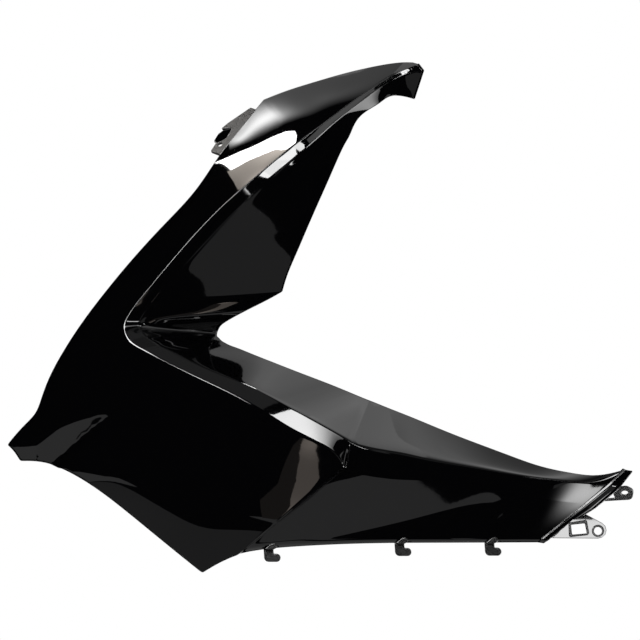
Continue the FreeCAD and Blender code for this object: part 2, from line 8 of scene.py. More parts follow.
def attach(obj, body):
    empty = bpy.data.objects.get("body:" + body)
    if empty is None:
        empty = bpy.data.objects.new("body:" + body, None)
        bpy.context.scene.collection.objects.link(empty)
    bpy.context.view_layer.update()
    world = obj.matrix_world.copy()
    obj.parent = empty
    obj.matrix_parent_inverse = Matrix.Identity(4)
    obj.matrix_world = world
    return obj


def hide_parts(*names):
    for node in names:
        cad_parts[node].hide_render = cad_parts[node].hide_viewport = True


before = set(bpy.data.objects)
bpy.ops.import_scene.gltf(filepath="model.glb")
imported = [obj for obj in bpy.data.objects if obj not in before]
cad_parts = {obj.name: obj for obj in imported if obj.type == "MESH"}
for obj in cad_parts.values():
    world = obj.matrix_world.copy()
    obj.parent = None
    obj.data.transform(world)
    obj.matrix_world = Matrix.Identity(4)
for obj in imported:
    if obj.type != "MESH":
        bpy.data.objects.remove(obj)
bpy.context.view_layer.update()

# Left front side panel of a scooter in gloss black, drawn in millimetres in the side view:
# X runs back along the scooter, Z up and Y inward, with the rear screw hole at the origin.
MM = 0.001

# Guide lines of the skin in the side view: station number, x, z. The stations run from the wing tip
# along the wing, round the nose and back along the arm. A new run starts at each corner of the outline.
OUTER_EDGE = [
    [(0, -185, 469.5), (1, -206, 469), (2, -246, 461.5), (3, -283, 451.5), (4, -314, 442), (4.7, -335, 434)],
    [(4.7, -335, 434), (5.5, -350, 415), (6.2, -362, 399), (7, -379, 377), (8, -403, 341), (9, -435, 306),
     (10, -467, 271), (11, -492, 241), (12, -515, 211), (13, -535, 181), (14, -553, 147), (14.6, -560, 127),
     (15, -565, 116), (15.5, -578, 103), (16, -593.5, 85)],
    [(16, -593.5, 85), (16.5, -587, 79), (17, -580.5, 69)],
    [(17, -580.5, 69), (17.5, -563, 69), (18, -546, 65.5), (19, -513, 49.5), (20, -480, 26), (21, -438, -8),
     (22, -396, -42)],
    [(22, -396, -42), (23, -382, -33.5), (24, -370, -27.5), (25, -360, -23.5), (25.5, -352, -21.3),
     (26, -336, -18.7), (27, -298, -15.5), (28, -253, -13.3), (29, -208, -12.2), (30, -166, -11.8),
     (31, -126, -11.6), (32, -92, -11.5), (33, -61, -11.5)],
]
CREST = [
    [(0, -179, 467.5), (1, -200, 458.5), (2, -229, 441), (3, -255, 422.5), (4, -280, 403), (5, -308, 382.5),
     (6, -334, 360.5), (7, -360, 338.3), (8, -385, 315), (9, -410, 288), (10, -433, 261), (11, -450, 240.5),
     (12, -464, 223), (13, -471, 211.5), (14, -473, 203.5), (15, -470.4, 195), (16, -467, 190.5),
     (17, -463, 187), (18, -456, 182.7), (19, -444, 176), (20, -425, 166), (21, -394, 151), (22, -362, 135.5),
     (23, -327, 115), (24, -291, 94), (24.6, -263, 79.5), (25, -254, 65)],
    [(25, -254, 65), (25.5, -249, 62), (26, -240, 59), (27, -210, 53), (28, -173, 52), (29, -136, 50.5),
     (30, -104, 46), (31, -76, 38), (32, -44, 31), (33, -13, 27.5)],
]
RECESS_FOOT = [
    [(0, -174, 461), (1, -198, 455.5), (2, -226.5, 437.5), (3, -251, 419), (4, -276, 398), (5, -299, 377),
     (6, -324, 356.5), (7, -350, 332), (8, -373, 309), (9, -397, 283), (10, -419, 259), (11, -436, 240),
     (12, -449, 224), (13, -456.5, 213), (13.5, -459, 208), (14, -459, 204), (15, -456.5, 199),
     (16, -453, 194.5), (17, -448, 191), (18, -442, 187), (19, -432, 181.5), (20, -414, 172),
     (21, -384, 158.5), (22, -350, 145), (23, -317, 128), (24, -281, 108), (25, -251, 90.5),
     (25.5, -243, 85.5), (26, -232, 81),
     (27, -203, 74.5), (28, -168, 68), (29, -133, 63), (30, -101, 58), (31, -70, 53.5), (32, -33, 49),
     (33, 9, 45.5)],
]
NOTCH_EDGE = [
    [(0, -183, 433), (0.7, -195, 436), (1.3, -207, 436), (2, -218, 429), (3, -236, 417), (3.6, -244, 406.5),
     (4, -247.5, 398), (5, -255, 384), (6, -268, 355), (7, -280, 328), (8, -291, 303), (9, -300, 282),
     (10, -307, 266), (11, -313, 250), (11.6, -316, 239.5)],
    [(11.6, -316, 239.5), (12, -330, 231.5), (12.5, -350, 221.5), (13, -372, 209.5), (13.5, -379, 203.5),
     (14, -381.5, 198), (15, -380, 193.5), (16, -377, 190.5), (17, -373, 188), (18, -368, 185.5),
     (19, -361, 183), (20, -351, 179), (21, -340, 174.5), (22, -326, 169), (23, -298, 158), (24, -263, 144.5),
     (25, -233, 132), (25.5, -224, 128.5), (26, -213, 124), (27, -185, 113), (28, -151, 99), (29, -117, 86),
     (30, -86, 74.5), (31, -55, 64), (32, -20, 57), (32.6, 5, 56), (33, 26, 61)],
]

# Depth of the skin behind its outermost face. The shield's depths are soundings in the side view.
SHIELD_SOUNDINGS = [
    (-180, 468, 40), (-229, 441, 26), (-280, 403, 13), (-334, 360.5, 5), (-385, 315, 1), (-433, 261, 0),
    (-471, 211, 0), (-470, 195, 0), (-425, 166, -2), (-362, 135.5, -3), (-291, 94, -2), (-255, 69, 1),
    (-185, 469.5, 44), (-246, 461.5, 70), (-283, 451.5, 80), (-314, 442, 88), (-335, 434, 91),
    (-350, 415, 83), (-362, 399, 74), (-379, 377, 60), (-403, 341, 44), (-435, 306, 39), (-467, 271, 40),
    (-492, 241, 44), (-515, 211, 48), (-535, 181, 52), (-553, 147, 57), (-565, 116, 65), (-593.5, 85, 77),
    (-580.5, 69, 74), (-546, 65.5, 50), (-513, 49.5, 33), (-480, 26, 21), (-396, -42, 8),
    (-360, -23.5, 5), (-264, 433, 35), (-325, 405, 30), (-370, 358, 18), (-394, 328, 13),
    (-422.5, 297, 11.5), (-450, 266, 12), (-489.5, 217, 15), (-508, 181, 18), (-498, 131, 17),
    (-538, 111, 37), (-508, 91, 24), (-448, 111, 3), (-438, 51, 4), (-398, 81, -2), (-348, 51, -2),
    (-308, 31, 1), (-398, 11, 2),
]
SOUNDING_EASE = 0.06
SHEET_UNIT = 100
# Soft swells and hollows of the wing's face: place along and across the wing from a point beside its front
# edge, reach along and across, and depth. They die away over the last share of the face before the crest.
WING_START = (-400, 386)
WING_SLOPE = math.radians(22.4)
WING_SWELLS = [(35, 15, 20, 14, -1.45), (46, 35, 18.5, 15, -1.1), (76, 11, 17, 22, 1.5),
               (109, 19, 15, 14, -0.93), (88, 37, 13, 13, 0.63), (104, -13, 28, 14, 0.45),
               (55, -10, 17, 11, 0.6), (2, 32, 13, 15, 0.36), (20, 23, 11, 10, -0.24),
               (40, 0, 15, 8, 0.3), (50, 42, 20, 8, -0.15)]
SWELL_FADE = 0.1
# Depths along the stations, and the lines of the underside and of the nose scoop along x.
RECESS_SHARE = [(0, 0.5), (2, 0.9), (4, 1.3), (6, 1.35), (8, 1.15), (10, 1), (25, 1)]
NOTCH_EDGE_DEPTH = [(0, 50), (1, 44), (2, 35), (3, 30), (4, 27), (5, 27), (6, 28), (8, 31), (10, 30),
                    (11.6, 31), (13, 33), (13.6, 52), (20, 53), (22, 56), (23, 59), (24, 62.5),
                    (25, 65.5), (26, 66.5), (27, 65), (28, 60), (29, 52.5), (30, 44), (31, 35), (32, 27),
                    (33, 25)]
ARM_CREST_DEPTH = [(25, 8.5), (26, 9), (27, 9.5), (28, 11), (29, 12.5), (30, 14), (31, 15.6), (32, 18.2),
                   (33, 23.5)]
ARM_FOOT_DEPTH = [(25, 8), (26, 8.5), (27, 9.5), (28, 11), (29, 12.5), (30, 13.8), (31, 15.2), (32, 18),
                  (33, 23.5)]
ARM_EDGE_DEPTH = [(25, 19), (26, 23), (27, 27), (28, 27), (29, 24.5), (30, 20), (31, 17.5), (32, 18.8),
                  (33, 23.5)]
ARM_BEND_SHARE = [(25, 1), (27, 0.95), (28, 0.8), (29, 0.61), (30, 0.31), (31, 0.3), (32, 0.6), (33, 1)]
UNDERTURN_LINE = [(-640, 20), (-530, 52), (-492, 50), (-476, 47), (-455, 37), (-425, 21), (-408, 12),
                  (-383, 8), (-338, 6), (-200, -10)]
SCOOP_TOP = [(-640, 85), (-562, 85), (-540, 102), (-526, 109), (-515, 113.5), (-494, 119), (-480, 117.5)]
SCOOP_FOOT = [(-640, 40), (-562, 51), (-540, 64), (-526, 77), (-507, 94), (-490, 107), (-480, 116.5)]
SCOOP_SHARE = [(-640, 1), (-562, 1), (-540, 0.95), (-515, 0.65), (-494, 0.3), (-480, 0)]

# Stations at which the shield ends, the arm starts and the rear edge lies.
SHIELD_END = 25
ARM_START = 25.2
REAR_EDGE = 33

# Where the skin is held along and across the stations; close lines make a tight bend.
STATION_STEP = 0.25
CORNER_STATIONS = [0.06, 4.6, 4.68, 4.7, 4.72, 4.8, 11.45, 11.55, 11.6, 11.65, 15.9, 16.1, 16.9, 17.1,
                   21.9, 22.1, 24.9, 25.05, 25.1, 25.15, 25.2, 25.3, 32.9, 32.97]
ACROSS_SHIELD = [0, 0.008, 0.025, 0.05, 0.08, 0.12, 0.16, 0.21, 0.26, 0.315, 0.37, 0.425, 0.48, 0.535,
                 0.59, 0.645, 0.7, 0.75, 0.8, 0.84, 0.88, 0.91, 0.94, 0.96, 0.975, 0.988]
ACROSS_BAND = [0, 0.1, 0.22, 0.36, 0.5, 0.7, 0.85, 0.94]
ACROSS_INNER = [0, 0.015, 0.04, 0.08, 0.12, 0.18, 0.25, 0.325, 0.4, 0.475, 0.55, 0.625, 0.7, 0.77, 0.84,
                0.89, 0.94, 0.97, 0.99, 1]
GRID_PER_SPAN = 2

# Walls, steps and bends of the skin.
SKIN_WALL = 2.6
RECESS_DEPTH = 6.5
UNDERTURN_ANGLE = 23
UNDERTURN_EASE = 12
UNDERTURN_BEND = 8
SCOOP_DEPTH = 9
SCOOP_FALL = 0.85
ARM_LIP_DEPTH = 5
ARM_LIP_SHARE = 0.07
ARM_LIP_POWER = 1.5
FOOT_BEND = 0.02
ARM_FOOT_BEND = 0.1
ARM_FOOT_RUN = 2
NOTCH_EASE_START = 10
NOTCH_EASE_RUN = 8
NOTCH_EASE_LEAST = 0.25
ARM_TOP_POINT = (-452, 4, 193)
ARM_TOP_SLOPE = (0.652, 1.29)
ARM_TOP_START = 13.6
ARM_TOP_START_RUN = 0.4
ARM_TOP_END = 27
ARM_TOP_END_RUN = 7
FLANGE_REACH = 14
FLANGE_LEAN = -0.15
FLANGE_TAPER = [(0, 0.5), (0.15, 0.5), (0.3, 0.62), (0.5, 0.95), (0.75, 0.95), (1, 0.6)]
FLANGE_SETBACK = 2.2
FLANGE_STEPS = [(0.06, 0.3), (0.14, 0.85), (0.24, 1), (0.45, 1), (0.7, 1), (1, 1)]
TAB_ROOT_DEPTH = 24
RIM_STEPS = 4
RIM_BULGE = 0.6
RIM_PROBE = (10, 3)
EASE_STEPS = np.linspace(-1, 1, 9)
EASE = 0.5


def guide_points(runs, stations):
    """Points of a guide line, smooth within each run and cornered between runs."""
    points = np.zeros((len(stations), 2))
    done = np.zeros(len(stations), bool)
    for run in runs:
        at, *lines = np.array(run, float).T
        count = len(at)
        gaps = np.diff(at)
        matrix = np.eye(count)
        for i in range(1, count - 1):
            matrix[i, i - 1:i + 2] = gaps[i - 1], 2 * (gaps[i - 1] + gaps[i]), gaps[i]
        here = ~done & ((stations <= at[-1]) | (run is runs[-1]))
        i = np.clip(np.searchsorted(at, stations[here], side="right") - 1, 0, count - 2)
        a = (at[i + 1] - stations[here]) / gaps[i]
        b = 1 - a
        for axis, line in enumerate(lines):
            turn = np.zeros(count)
            turn[1:-1] = 6 * np.diff(np.diff(line) / gaps)
            bend = np.linalg.solve(matrix, turn)
            rise = ((a ** 3 - a) * bend[i] + (b ** 3 - b) * bend[i + 1]) * gaps[i] ** 2 / 6
            points[here, axis] = a * line[i] + b * line[i + 1] + rise
        done |= here
    return points


def level(table, at, ease=0.0):
    """Value of a table between its rows, with its corners eased over a span."""
    at_rows, values = np.array(table, float).T
    return sum(np.interp(at + ease * step, at_rows, values) for step in EASE_STEPS) / len(EASE_STEPS)


def soft_ramp(distance, radius):
    """Zero before the bend and the distance after it, with the bend rounded."""
    return 0.5 * (distance + np.sqrt(distance * distance + radius * radius))


SOUNDINGS = np.array(SHIELD_SOUNDINGS, float) / (SHEET_UNIT, SHEET_UNIT, 1)


def sheet_terms(x, z):
    """Terms of a thin springy sheet over the side view, one for each sounding and three for its lean."""
    reach = np.hypot(x[:, None] - SOUNDINGS[:, 0], z[:, None] - SOUNDINGS[:, 1])
    return np.hstack([reach ** 3, np.ones((len(x), 1)), x[:, None], z[:, None]])


sheet_matrix = np.zeros((len(SOUNDINGS) + 3, len(SOUNDINGS) + 3))
sheet_matrix[:-3] = sheet_terms(SOUNDINGS[:, 0], SOUNDINGS[:, 1])
sheet_matrix[-3:, :-3] = sheet_matrix[:-3, -3:].T
sheet_matrix[:-3, :-3] += SOUNDING_EASE * np.eye(len(SOUNDINGS))
SHEET_WEIGHTS = np.linalg.solve(sheet_matrix, np.append(SOUNDINGS[:, 2], [0, 0, 0]))


def shield_depth(x, z):
    """Depth of the shield's sheet, with its underside turned in below a line."""
    terms = sheet_terms(x.ravel() / SHEET_UNIT, z.ravel() / SHEET_UNIT)
    base = (terms @ SHEET_WEIGHTS).reshape(x.shape)
    under = soft_ramp(level(UNDERTURN_LINE, x, UNDERTURN_EASE) - z, UNDERTURN_BEND)
    return base + math.tan(math.radians(UNDERTURN_ANGLE)) * under


def wing_swell(x, z):
    """Depth of the wing's soft swells, which keep its long reflections straight."""
    right, up = x - WING_START[0], z - WING_START[1]
    along = right * math.cos(WING_SLOPE) + up * math.sin(WING_SLOPE)
    across = right * math.sin(WING_SLOPE) - up * math.cos(WING_SLOPE)
    depth = np.zeros(x.shape)
    for middle_along, middle_across, length, width, rise in WING_SWELLS:
        reach = ((along - middle_along) / length) ** 2 + ((across - middle_across) / width) ** 2
        depth += rise * np.exp(-reach)
    return depth


def arm_depth(stations, share):
    """Depth of the arm's flank, from its lower edge at share 0 to its crest at share 1."""
    top = level(ARM_CREST_DEPTH, stations, EASE)
    low = level(ARM_EDGE_DEPTH, stations, EASE)
    from_top = 1 - share
    lip = ARM_LIP_DEPTH * np.maximum(0, (from_top - 1 + ARM_LIP_SHARE) / ARM_LIP_SHARE) ** ARM_LIP_POWER
    return top + (low - top) * np.minimum(from_top / level(ARM_BEND_SHARE, stations, EASE), 1) + lip


def panel_net():
    """Sections of the outer face from the wing tip to the rear flange, as points (x, depth, z)."""
    steps = np.arange(0, REAR_EDGE + STATION_STEP / 2, STATION_STEP)
    stations = np.unique(np.concatenate([steps, CORNER_STATIONS]))
    guides = (OUTER_EDGE, CREST, RECESS_FOOT, NOTCH_EDGE)
    outer, crest, foot, notch = (guide_points(runs, stations)[:, None, :] for runs in guides)
    along = stations[:, None]
    on_arm = np.clip((along - SHIELD_END) / (ARM_START - SHIELD_END), 0, 1)

    across = np.array(ACROSS_SHIELD + [1.0])[None, :]
    flank = outer + (crest - outer) * across[..., None]
    flank_x, flank_z = flank[..., 0], flank[..., 1]
    flank_depth = shield_depth(flank_x, flank_z) * (1 - on_arm) + arm_depth(along, across) * on_arm
    flank_depth += wing_swell(flank_x, flank_z) * np.clip((1 - across) / SWELL_FADE, 0, 1)
    crest_depth = flank_depth[:, -1:]

    stepped = shield_depth(crest[..., 0], crest[..., 1]) + RECESS_DEPTH * level(RECESS_SHARE, along, EASE)
    foot_depth = stepped + (level(ARM_FOOT_DEPTH, along, EASE) - stepped) * on_arm

    across = np.array(ACROSS_BAND)[None, :]
    band = crest + (foot - crest) * across[..., None]
    band_depth = crest_depth + (foot_depth - crest_depth) * across

    across = np.array(ACROSS_INNER)[None, :]
    inner = foot + (notch - foot) * across[..., None]
    soft = FOOT_BEND + ARM_FOOT_BEND * np.clip((along - ARM_START) / ARM_FOOT_RUN, 0, 1)
    start = soft_ramp(-soft, soft)
    lean = (soft_ramp(across - soft, soft) - start) / (soft_ramp(1 - soft, soft) - start)
    notch_ease = np.clip((along - NOTCH_EASE_START) / NOTCH_EASE_RUN, NOTCH_EASE_LEAST, 1)
    notch_depth = level(NOTCH_EDGE_DEPTH, along, notch_ease)
    top_x, top_depth, top_z = ARM_TOP_POINT
    slope_x, slope_z = ARM_TOP_SLOPE
    arm_top = top_depth + slope_x * (notch[..., 0] - top_x) + slope_z * (notch[..., 1] - top_z)
    on_top = np.clip((along - ARM_TOP_START) / ARM_TOP_START_RUN, 0, 1)
    on_top = on_top * np.clip((ARM_TOP_END - along) / ARM_TOP_END_RUN, 0, 1)
    inner_depth = foot_depth + (notch_depth + (arm_top - notch_depth) * on_top - foot_depth) * lean

    plan = np.concatenate([flank[:, :-1], band, inner], axis=1)
    depth = np.concatenate([flank_depth[:, :-1], band_depth, inner_depth], axis=1)
    net = np.stack([plan[..., 0], depth, plan[..., 1]], axis=-1)

    rear = net[-1]
    up_edge = (rear[:, 2] - rear[0, 2]) / (rear[-1, 2] - rear[0, 2])
    reach = FLANGE_REACH * level(FLANGE_TAPER, up_edge)[:, None] * np.array([1, 0, FLANGE_LEAN])
    flange = [rear + reach * share + np.array([0, FLANGE_SETBACK * sunk, 0]) for share, sunk in FLANGE_STEPS]
    return np.concatenate([net, flange])


def spline_weights(count, per_span):
    """Weights of a clamped cubic spline's points at even steps along it."""
    knots = np.concatenate([[0, 0, 0], np.arange(count - 2), [count - 3] * 3]).astype(float)
    at = np.linspace(0, count - 3 - 1e-9, (count - 3) * per_span + 1)[:, None]
    weights = ((knots[:-1] <= at) & (at < knots[1:])).astype(float)
    for degree in (1, 2, 3):
        spans = knots[degree:] - knots[:-degree]
        share = np.where(spans > 0, (at - knots[:-degree]) / np.where(spans > 0, spans, 1), 0)
        rest = np.where(spans[1:] > 0, 1 - share[:, 1:], 0)
        weights = weights[:, :-1] * share[:, :-1] + weights[:, 1:] * rest
    return weights


def grid_normals(grid):
    """Outward normals over a grid of points."""
    along = np.gradient(grid, axis=0)
    across = np.gradient(grid, axis=1)
    normals = np.cross(along, across)
    return normals / np.linalg.norm(normals, axis=-1, keepdims=True)


def nose_scoop(x, z):
    """Depth of the leaf-shaped nose scoop, which falls away from its top line and ends at a steep foot."""
    top = level(SCOOP_TOP, x)
    tall = np.maximum(top - level(SCOOP_FOOT, x), 1)
    share = (top - z) / tall
    depth = np.clip(np.minimum(share / SCOOP_FALL, (1 - share) / (1 - SCOOP_FALL)), 0, None)
    return SCOOP_DEPTH * level(SCOOP_SHARE, x) * depth


def skin_grid():
    """The outer face of the skin as a fine grid of points in millimetres."""
    net = panel_net()
    along, across = (spline_weights(count, GRID_PER_SPAN) for count in net.shape[:2])
    grid = np.einsum("ai,ijk,bj->abk", along, net, across)
    grid[..., 1] += nose_scoop(grid[..., 0], grid[..., 2]) - TAB_ROOT_DEPTH
    return grid


def skin_mesh(outer):
    """The skin with its inner face and a rounded rim; the inner face takes the second material."""
    rows, cols = outer.shape[:2]
    normals = grid_normals(outer)
    inner = outer - normals * SKIN_WALL
    border = [(i, 0) for i in range(rows - 1)] + [(rows - 1, k) for k in range(cols - 1)]
    border += [(i, cols - 1) for i in range(rows - 1, 0, -1)] + [(0, k) for k in range(cols - 1, 0, -1)]
    pick = tuple(np.array(border).T)
    edge, back = outer[pick], inner[pick]
    onward = np.roll(edge, -1, axis=0) - np.roll(edge, 1, axis=0)
    outward = np.cross(onward, normals[pick])
    outward /= np.linalg.norm(outward, axis=1, keepdims=True)
    row, column = RIM_PROBE
    if outward[row] @ (outer[row, 0] - outer[row, column]) < 0:
        outward = -outward
    number = np.arange(rows * cols).reshape(rows, cols)
    a, b, c, d = number[:-1, :-1], number[1:, :-1], number[1:, 1:], number[:-1, 1:]
    front = np.stack([a, b, c, d], axis=-1).reshape(-1, 4)
    points = [outer.reshape(-1, 3), inner.reshape(-1, 3)]
    rings = [number[pick]]
    for step in range(1, RIM_STEPS):
        turn = math.pi * step / RIM_STEPS
        middle = (edge + back) / 2
        points.append(middle + (edge - middle) * math.cos(turn) + outward * RIM_BULGE * math.sin(turn))
        rings.append(2 * rows * cols + (step - 1) * len(border) + np.arange(len(border)))
    rings.append(number[pick] + rows * cols)
    rim = [np.stack([np.roll(first, -1), first, second, np.roll(second, -1)], axis=-1)
           for first, second in zip(rings, rings[1:])]
    faces = np.concatenate([front, front[:, ::-1] + rows * cols] + rim)
    mesh = bpy.data.meshes.new("skin")
    mesh.from_pydata(np.concatenate(points) * MM, [], faces.tolist())
    counts = [len(front), len(front), len(rim) * len(border)]
    mesh.polygons.foreach_set("material_index", np.repeat([0, 1, 0], counts))
    mesh.polygons.foreach_set("use_smooth", np.ones(len(faces), bool))
    mesh.update()
    return mesh


def place(name, mesh, *materials):
    """A piece of the panel, fixed to it."""
    piece = bpy.data.objects.new(name, mesh)
    bpy.context.scene.collection.objects.link(piece)
    for material in materials:
        mesh.materials.append(material)
    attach(piece, "root")
    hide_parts("front_side_panel")
    return piece


def linear(hex_colour):
    """Linear colour of an sRGB hex value."""
    parts = [int(hex_colour[i:i + 2], 16) / 255 for i in (1, 3, 5)]
    return tuple(v / 12.92 if v <= 0.04045 else ((v + 0.055) / 1.055) ** 2.4 for v in parts) + (1,)


def add(tree, kind, settings=(), **links):
    """A node with its settings; each link names an input and the output that feeds it."""
    node = tree.nodes.new(kind)
    for name, value in dict(settings).items():
        if name in node.inputs:
            node.inputs[name].default_value = value
        else:
            setattr(node, name, value)
    for name, source in links.items():
        tree.links.new(source, node.inputs[name.replace("_", " ")])
    return node


def new_material(name):
    """An empty material and its tree of nodes."""
    material = bpy.data.materials.new(name)
    material.use_nodes = True
    material.node_tree.nodes.clear()
    return material, material.node_tree


PEEL_SIZE = 4
GRIT_SIZE = 0.8


def gloss_black_paint():
    """Black paint under clear coat on moulded ABS: a mirror with a faint orange peel about 4 mm across."""
    material, tree = new_material("gloss_black_paint_on_abs")
    where = add(tree, "ShaderNodeTexCoord").outputs["Object"]
    peel = add(tree, "ShaderNodeTexNoise", {"Scale": 1 / (PEEL_SIZE * MM), "Detail": 1.0, "Roughness": 0.4},
               Vector=where)
    ripple = add(tree, "ShaderNodeBump", {"Strength": 0.02, "Distance": 0.2 * MM}, Height=peel.outputs["Fac"])
    body = add(tree, "ShaderNodeBsdfPrincipled",
               {"Base Color": linear("#040405"), "Roughness": 0.35, "IOR": 1.5, "Specular IOR Level": 0.0,
                "Coat Weight": 1.0, "Coat Roughness": 0.03, "Coat IOR": 1.5},
               Coat_Normal=ripple.outputs["Normal"])
    add(tree, "ShaderNodeOutputMaterial", Surface=body.outputs["BSDF"])
    return material


def moulded_black_abs():
    """Bare black ABS as it leaves the mould: satin, with a fine spark-eroded texture about 0.8 mm across."""
    material, tree = new_material("moulded_black_abs")
    where = add(tree, "ShaderNodeTexCoord").outputs["Object"]
    grit = add(tree, "ShaderNodeTexNoise", {"Scale": 1 / (GRIT_SIZE * MM), "Detail": 2.0}, Vector=where)
    bump = add(tree, "ShaderNodeBump", {"Strength": 0.15, "Distance": 0.1 * MM}, Height=grit.outputs["Fac"])
    body = add(tree, "ShaderNodeBsdfPrincipled",
               {"Base Color": linear("#0b0b0c"), "Roughness": 0.32, "IOR": 1.54},
               Normal=bump.outputs["Normal"])
    add(tree, "ShaderNodeOutputMaterial", Surface=body.outputs["BSDF"])
    return material


PAINT = gloss_black_paint()
ABS = moulded_black_abs()
SKIN = skin_grid()
place("panel_skin", skin_mesh(SKIN), PAINT, ABS)


def rounded(corners, steps=5):
    """A closed outline through corners (x, y, radius), each corner turned into an arc."""
    outline = []
    count = len(corners)
    for i, (x, y, radius) in enumerate(corners):
        here = np.array([x, y], float)
        back = np.array(corners[i - 1][:2]) - here
        on = np.array(corners[(i + 1) % count][:2]) - here
        back /= np.linalg.norm(back)
        on /= np.linalg.norm(on)
        if not radius:
            outline.append(here)
            continue
        half = 0.5 * math.acos(np.clip(back @ on, -1, 1))
        run = radius / math.tan(half)
        centre = here + (back + on) / np.linalg.norm(back + on) * radius / math.sin(half)
        first = here + back * run - centre
        last = here + on * run - centre
        sweep = math.atan2(first[0] * last[1] - first[1] * last[0], first @ last)
        for k in range(steps + 1):
            turn = sweep * k / steps
            c, s = math.cos(turn), math.sin(turn)
            outline.append(centre + np.array([c * first[0] - s * first[1], s * first[0] + c * first[1]]))
    return outline


def circle(x, y, radius, steps=40):
    """A closed round outline."""
    turns = np.linspace(0, 2 * math.pi, steps, endpoint=False)
    return [np.array([x + radius * math.cos(t), y + radius * math.sin(t)]) for t in turns]


SHARP_EDGE = math.radians(40)


def plate(name, loops, thickness, edge, origin, across, up, finish=None):
    """A flat moulded plate with softened edges: its outline and holes lie in the plane of across and up."""
    drawing = bpy.data.curves.new(name, "CURVE")
    drawing.dimensions = "2D"
    drawing.fill_mode = "BOTH"
    drawing.extrude = (thickness / 2 - edge) * MM
    drawing.bevel_depth = edge * MM
    drawing.bevel_resolution = 2
    drawing.offset = -edge * MM
    for loop in loops:
        spline = drawing.splines.new("POLY")
        spline.points.add(len(loop) - 1)
        spline.use_cyclic_u = True
        for point, (x, y) in zip(spline.points, loop):
            point.co = (x * MM, y * MM, 0, 1)
    drawn = bpy.data.objects.new(name + "_drawing", drawing)
    bpy.context.scene.collection.objects.link(drawn)
    mesh = bpy.data.meshes.new_from_object(drawn.evaluated_get(bpy.context.evaluated_depsgraph_get()))
    bpy.data.objects.remove(drawn)
    bpy.data.curves.remove(drawing)
    across, up = Vector(across).normalized(), Vector(up).normalized()
    turn = Matrix((across, up, across.cross(up))).transposed().to_4x4()
    mesh.transform(Matrix.Translation(Vector(origin) * MM) @ turn)
    mesh.materials.clear()
    mesh.shade_smooth()
    mesh.set_sharp_from_angle(angle=SHARP_EDGE)
    mesh.name = name
    return place(name, mesh, finish or ABS)


SIDE_X = (1, 0, 0)
SIDE_Z = (0, 0, 1)
TAB_WALL = 3
TAB_EDGE = 0.5
TAB_LEAN = math.radians(5)
TAB_UP = (0, math.sin(TAB_LEAN), math.cos(TAB_LEAN))

# Rear screw tab: a flat plate with a round end about the screw hole and a raised frame about its window.
screw_tab = rounded([(-46, -7.2, 0), (33, -7.8, 8.2), (-11.8, 16.6, 2), (-15, 19, 1),
                     (-24, 13, 0)])
window = rounded([(-27.0, 6.2, 1), (-13.2, 7.7, 1), (-11.2, -2.4, 1), (-26.0, -3.7, 1)])
window_frame = rounded([(-29.5, 8.4, 2), (-11.2, 11.2, 2), (-8.6, -3.9, 2), (-29.0, -6.2, 2)])
FRAME_WALL = 6
FRAME_EDGE = 0.6
HOLE_RADIUS = 4
RIM_RADIUS = 6.2
RIM_WALL = 4
RIM_EDGE = 0.45
screw_hole = circle(0, 0, HOLE_RADIUS)
plate("rear_screw_tab", [screw_tab, screw_hole, window], TAB_WALL, TAB_EDGE,
      (0, 1.5, 0), SIDE_X, TAB_UP, PAINT)
plate("tab_window_frame", [window_frame, window], FRAME_WALL, FRAME_EDGE, (0, 0, 0), SIDE_X, TAB_UP)
plate("screw_hole_rim", [circle(0, 0, RIM_RADIUS), screw_hole], RIM_WALL, RIM_EDGE,
      (0, 1.3, 0), SIDE_X, TAB_UP)

# Loop tab: a leaning ring on a short arm and a strut, higher on the flange.
LOOP_LEAN = math.radians(40)
LOOP_UP = (0, -math.sin(LOOP_LEAN), math.cos(LOOP_LEAN))
loop_tab = rounded([(-20.5, -9.0, 0), (-9, -7.6, 1), (-11.5, -1.5, 2), (-8.5, 6.5, 3), (1.5, 8.6, 6),
                    (9.2, 3.5, 6), (7.6, -8.5, 5), (-19.5, -10.6, 0)])
LOOP_HOLE_RADIUS = 3.5
LOOP_MIDDLE = (27.1, 6.4, 38.3)
plate("loop_tab", [loop_tab, circle(0, 0, LOOP_HOLE_RADIUS)], TAB_WALL, TAB_EDGE,
      LOOP_MIDDLE, SIDE_X, LOOP_UP)


LOWER_EDGE_TOP = -5


def lower_edge_at(skin, x):
    """The point of the arm's lower edge at this distance along the panel."""
    edge = skin[skin[:, 0, 2] < LOWER_EDGE_TOP, 0]
    edge = edge[np.argsort(edge[:, 0])]
    return np.array([x, np.interp(x, edge[:, 0], edge[:, 1]), np.interp(x, edge[:, 0], edge[:, 2])])


